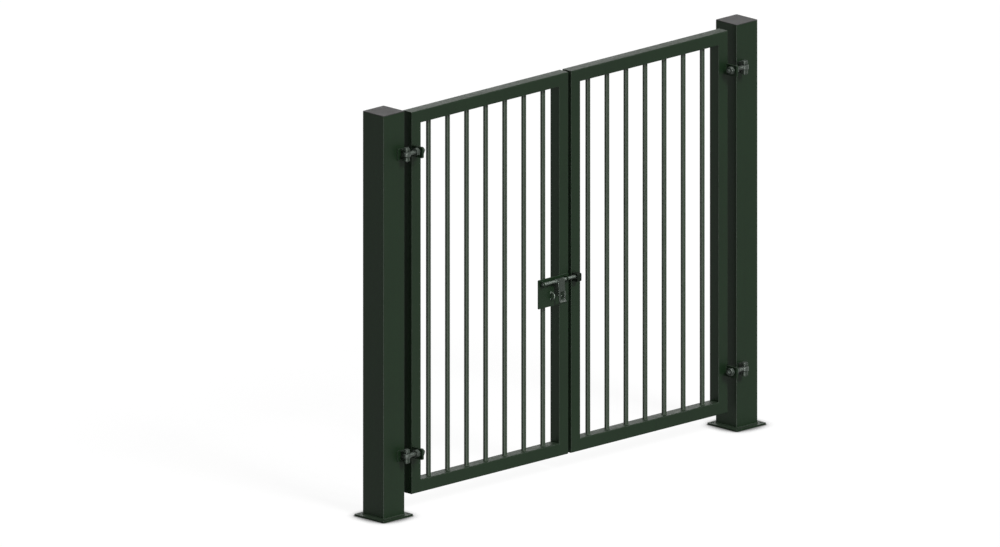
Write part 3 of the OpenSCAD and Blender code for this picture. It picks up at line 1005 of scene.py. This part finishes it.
low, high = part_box("bolt_rod")
rod_r = (high.z - low.z) / 2
length = high.x - low.x
bm = new_piece()
rod = turned([(0, 0), (rod_r - rod_chamfer, 0), (rod_r, rod_chamfer),
              (rod_r, length - nose_length), (rod_r - nose_chamfer, length), (0, length)],
             48)
add_part(bm, rod, seat((low.x, rod_y, rod_z), (0, 1, 0), (0, 0, 1)))
piece = finish_piece("sliding_rod", bm, rod_steel)
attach(piece, "slide_bolt")
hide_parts("bolt_rod")


# Bolt collars: two turned rings fixed on the rod beside the flag, so that the flag takes
# the rod along.

collar_width = 0.007
collar_chamfer = 0.0009
collar_bite = 0.0002


def turned_ring(bore, radius, width, chamfer):
    """Ring that stands on the xy plane, its outer edges chamfered."""
    return turned([(bore, 0), (radius - chamfer, 0), (radius, chamfer),
                   (radius, width - chamfer), (radius - chamfer, width), (bore, width)],
                  48, ring=True)


low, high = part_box("bolt_collars")
collar_r = (high.z - low.z) / 2
bm = new_piece()
for x in (low.x, high.x - collar_width):
    ring = turned_ring(rod_r - collar_bite, collar_r, collar_width, collar_chamfer)
    add_part(bm, ring, seat((x, rod_y, rod_z), (0, 1, 0), (0, 0, 1)))
piece = finish_piece("rod_collars", bm, rod_steel)
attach(piece, "slide_bolt")
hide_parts("bolt_collars")


# Flag: a strip of flat steel with a window for the padlock's shackle that hangs on the
# rod from a sleeve as thick as the collars. Its lower edge is bent out to a lip.

flag_thickness = 0.005
flag_rise = 0.008
flag_drop = 0.098
flag_tilt = 5
flag_bite = 0.002
lip_length = 0.012
lip_tilt = 35
window_width = 0.026
window_height = 0.040
window_drop = 0.0753
window_corner = 0.003
sleeve_bore = 0.0084
sleeve_chamfer = 0.0008
end_gap = 1e-5
flag_rim = 0.0008
flag_grey = (0.034, 0.044, 0.035, 1)
flag_bright = (0.080, 0.096, 0.083, 1)

flag_steel = steel("flag_steel", flag_grey, flag_bright, 0.22, 0.40)


def window_strip(width, top, bottom, thickness, window, corner):
    """Strip on the xy plane with a window; window is (width, height, centre y)."""
    bm = rounded_face(width, top - bottom)
    bmesh.ops.translate(bm, vec=(0, (top + bottom) / 2, 0), verts=bm.verts)
    bmesh.ops.delete(bm, geom=bm.faces[:], context="FACES_ONLY")
    opening = rounded_face(window[0], window[1], corner, corner, 4)
    bmesh.ops.translate(opening, vec=(0, window[2], 0), verts=opening.verts)
    bmesh.ops.delete(opening, geom=opening.faces[:], context="FACES_ONLY")
    add_part(bm, opening)
    bmesh.ops.triangle_fill(bm, use_beauty=True, edges=bm.edges[:], normal=(0, 0, 1))
    return raise_faces(bm, thickness)


low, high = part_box("bolt_flag")
width = high.x - low.x
back_y = collar_r - flag_bite
bend = radians(lip_tilt - flag_tilt)
strip = window_strip(width, flag_rise, -flag_drop, flag_thickness,
                     (window_width, window_height, -window_drop), window_corner)
end = [f for f in strip.faces
       if f.normal.y < -0.9 and f.calc_center_median().y < -flag_drop + end_gap]
for vert in end[0].verts:
    if vert.co.z < flag_thickness / 2:
        vert.co.y -= flag_thickness * tan(bend / 2)
tip = verts_in(bmesh.ops.extrude_face_region(strip, geom=end)["geom"])
bmesh.ops.delete(strip, geom=end, context="FACES_ONLY")
bmesh.ops.translate(strip, vec=(0, -lip_length * cos(bend), lip_length * sin(bend)),
                    verts=tip)
inner = [v for v in tip if v.co.y < min(t.co.y for t in tip) + end_gap]
bmesh.ops.translate(strip, vec=(0, flag_thickness * (tan(bend / 2) - sin(bend)),
                                flag_thickness * (1 - cos(bend))), verts=inner)
bmesh.ops.recalc_face_normals(strip, faces=strip.faces)
break_edges(strip, flag_rim)
bm = new_piece()
tilt = Matrix.Rotation(radians(-flag_tilt), 4, "X")
middle = Matrix.Translation(((low.x + high.x) / 2, rod_y, rod_z))
add_part(bm, strip, middle @ tilt @ seat((0, -back_y, 0), (1, 0, 0), (0, 0, 1)))
sleeve = turned_ring(sleeve_bore, collar_r, width, sleeve_chamfer)
add_part(bm, sleeve, seat((low.x, rod_y, rod_z), (0, 1, 0), (0, 0, 1)))
piece = finish_piece("padlock_flag", bm, flag_steel)
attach(piece, "flag")
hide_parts("bolt_flag")


# Keeper: a flat strap bent to a U and welded to the right leaf's stile, open at both
# sides, that the rod's end slides into.

keeper_thickness = 0.005
keeper_corner = 0.006
keeper_rim = 0.0007
keeper_weld = 0.0022
keeper_weld_end = 0.003
keeper_green = (0.0040, 0.0090, 0.0044, 1)
keeper_edge = (0.016, 0.028, 0.017, 1)

keeper_coat = coated("keeper_coat", keeper_green, keeper_edge, 0.4, 0.46, 0.08)

low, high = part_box("bolt_keeper")
height, depth, width = high.z - low.z, high.y - low.y, high.x - low.x
strap = square_tube(height, 2 * depth, width, keeper_corner, keeper_thickness, 5)
bmesh.ops.holes_fill(strap, edges=cut_off(strap, (0, 0, 0), (0, 1, 0)), sides=8)
bmesh.ops.recalc_face_normals(strap, faces=strap.faces)
break_edges(strap, keeper_rim, 2)
bm = new_piece()
add_part(bm, strap, seat((low.x, high.y, (low.z + high.z) / 2), (0, 0, -1), (0, 1, 0)))
for z in (low.z, high.z):
    add_part(bm, weld((low.x + keeper_weld_end, high.y, z),
                      (high.x - keeper_weld_end, high.y, z), keeper_weld))
piece = finish_piece("bolt_keeper_strap", bm, keeper_coat)
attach(piece, "right_leaf")
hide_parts("bolt_keeper")


# Floor: a plain pale studio floor. Seen directly or in a reflection it is white, with a
# painted contact shadow: a grey that ambient occlusion lays close round what stands on it.

floor_half = 30.0
contact_reach = 0.095
contact_samples = 16
contact_range = (0.74, 0.985)
painted_shadow_grey = (0.14, 0.14, 0.14, 1)
floor_white = (1.06, 1.06, 1.06, 1)
floor_pale = (0.9, 0.9, 0.9, 1)
floor_dim = (0.10, 0.10, 0.10, 1)
shadow_share = 0.12


def looked_at(tree):
    """1 where the camera or a reflection looks, and 0 where light is gathered."""
    path = tree.nodes.new("ShaderNodeLightPath")
    return sum_of(tree, "MAXIMUM", path.outputs["Is Camera Ray"], sum_of(
        tree, "MAXIMUM", path.outputs["Is Glossy Ray"],
        path.outputs["Is Transmission Ray"]))


bm = bmesh.new()
bmesh.ops.create_grid(bm, x_segments=1, y_segments=1, size=floor_half)
mesh = bpy.data.meshes.new("studio_floor")
bm.to_mesh(mesh)
bm.free()
floor = bpy.data.objects.new("studio_floor", mesh)
scene.collection.objects.link(floor)

material, tree, shader = new_material("studio_floor")
tree.nodes.remove(shader)
# Painted contact shadow: the ambient occlusion mixes a grey into the white wherever
# something stands close.
contact = place_node(tree, "ShaderNodeAmbientOcclusion", {"samples": contact_samples},
                     Distance=contact_reach)
open_sky = ranged(tree, contact.outputs["AO"], *contact_range)
glow = place_node(tree, "ShaderNodeEmission", None,
                  Color=mixed(tree, open_sky, painted_shadow_grey, floor_white))
pale = place_node(tree, "ShaderNodeBsdfDiffuse", None, Color=floor_pale)
dim = place_node(tree, "ShaderNodeBsdfDiffuse", None, Color=floor_dim)
shown = place_node(tree, "ShaderNodeMixShader", None, Fac=shadow_share)
tree.links.new(glow.outputs[0], shown.inputs[1])
tree.links.new(pale.outputs[0], shown.inputs[2])
either = place_node(tree, "ShaderNodeMixShader", None, Fac=looked_at(tree))
tree.links.new(dim.outputs[0], either.inputs[1])
tree.links.new(shown.outputs[0], either.inputs[2])
tree.links.new(either.outputs[0], tree.nodes["Material Output"].inputs["Surface"])
mesh.materials.append(material)


# Light: a broad key from the front and above, a low fill beside the camera and one from
# behind, two lamps that only show as glints, and an even pale room that is white where it
# is seen directly or in a reflection. The corner glint comes up off the pale floor, so it
# needs no shadow and leaves the tops dark.

lamp_distance = 5
room_grey = (0.09, 0.09, 0.09, 1)
room_white = (1, 1, 1, 1)


def soft_lamp(name, towards, strength, width, glint=False, shadow=True):
    """Distant soft lamp; towards is the way from the gate to the lamp."""
    lamp = bpy.data.lights.new(name, "SUN")
    lamp.energy = strength
    lamp.angle = radians(width)
    lamp.use_shadow = shadow
    holder = bpy.data.objects.new(name, lamp)
    holder.rotation_euler = Vector(towards).to_track_quat("Z", "Y").to_euler()
    holder.location = Vector(towards) * lamp_distance
    holder.visible_diffuse = not glint
    scene.collection.objects.link(holder)


soft_lamp("key", (-0.03, -0.74, 0.66), 2.8, 18)
soft_lamp("fill", (-0.66, -0.68, 0.20), 0.3, 25)
soft_lamp("back_fill", (0.50, 0.80, 0.34), 0.5, 30)
soft_lamp("corner_glint", (-0.74, -0.66, -0.10), 3.4, 12, True, shadow=False)
soft_lamp("round_glint", (0.64, -0.56, 0.52), 0.9, 12, True)

world = bpy.data.worlds.new("studio")
scene.world = world
world.use_nodes = True
tree = world.node_tree
background = tree.nodes["Background"]
tree.links.new(mixed(tree, looked_at(tree), room_grey, room_white),
               background.inputs["Color"])
background.inputs["Strength"].default_value = 1


# Camera: a view without perspective, from the front left and a little above.

view_turn, view_rise = radians(45), radians(15)
view_centre = Vector((0.8241, 0, 1.1006))
view_width = 5.008
view_distance = 9
view_reach = 60
back_way = Vector((-sin(view_turn) * cos(view_rise), -cos(view_turn) * cos(view_rise),
                   sin(view_rise)))
lens = bpy.data.cameras.new("camera")
lens.type = "ORTHO"
lens.ortho_scale = view_width
lens.clip_end = view_reach
camera = bpy.data.objects.new("camera", lens)
camera.location = view_centre + back_way * view_distance
camera.rotation_euler = back_way.to_track_quat("Z", "Y").to_euler()
scene.collection.objects.link(camera)
scene.camera = camera
scene.view_settings.view_transform = "Standard"

bpy.context.view_layer.update()
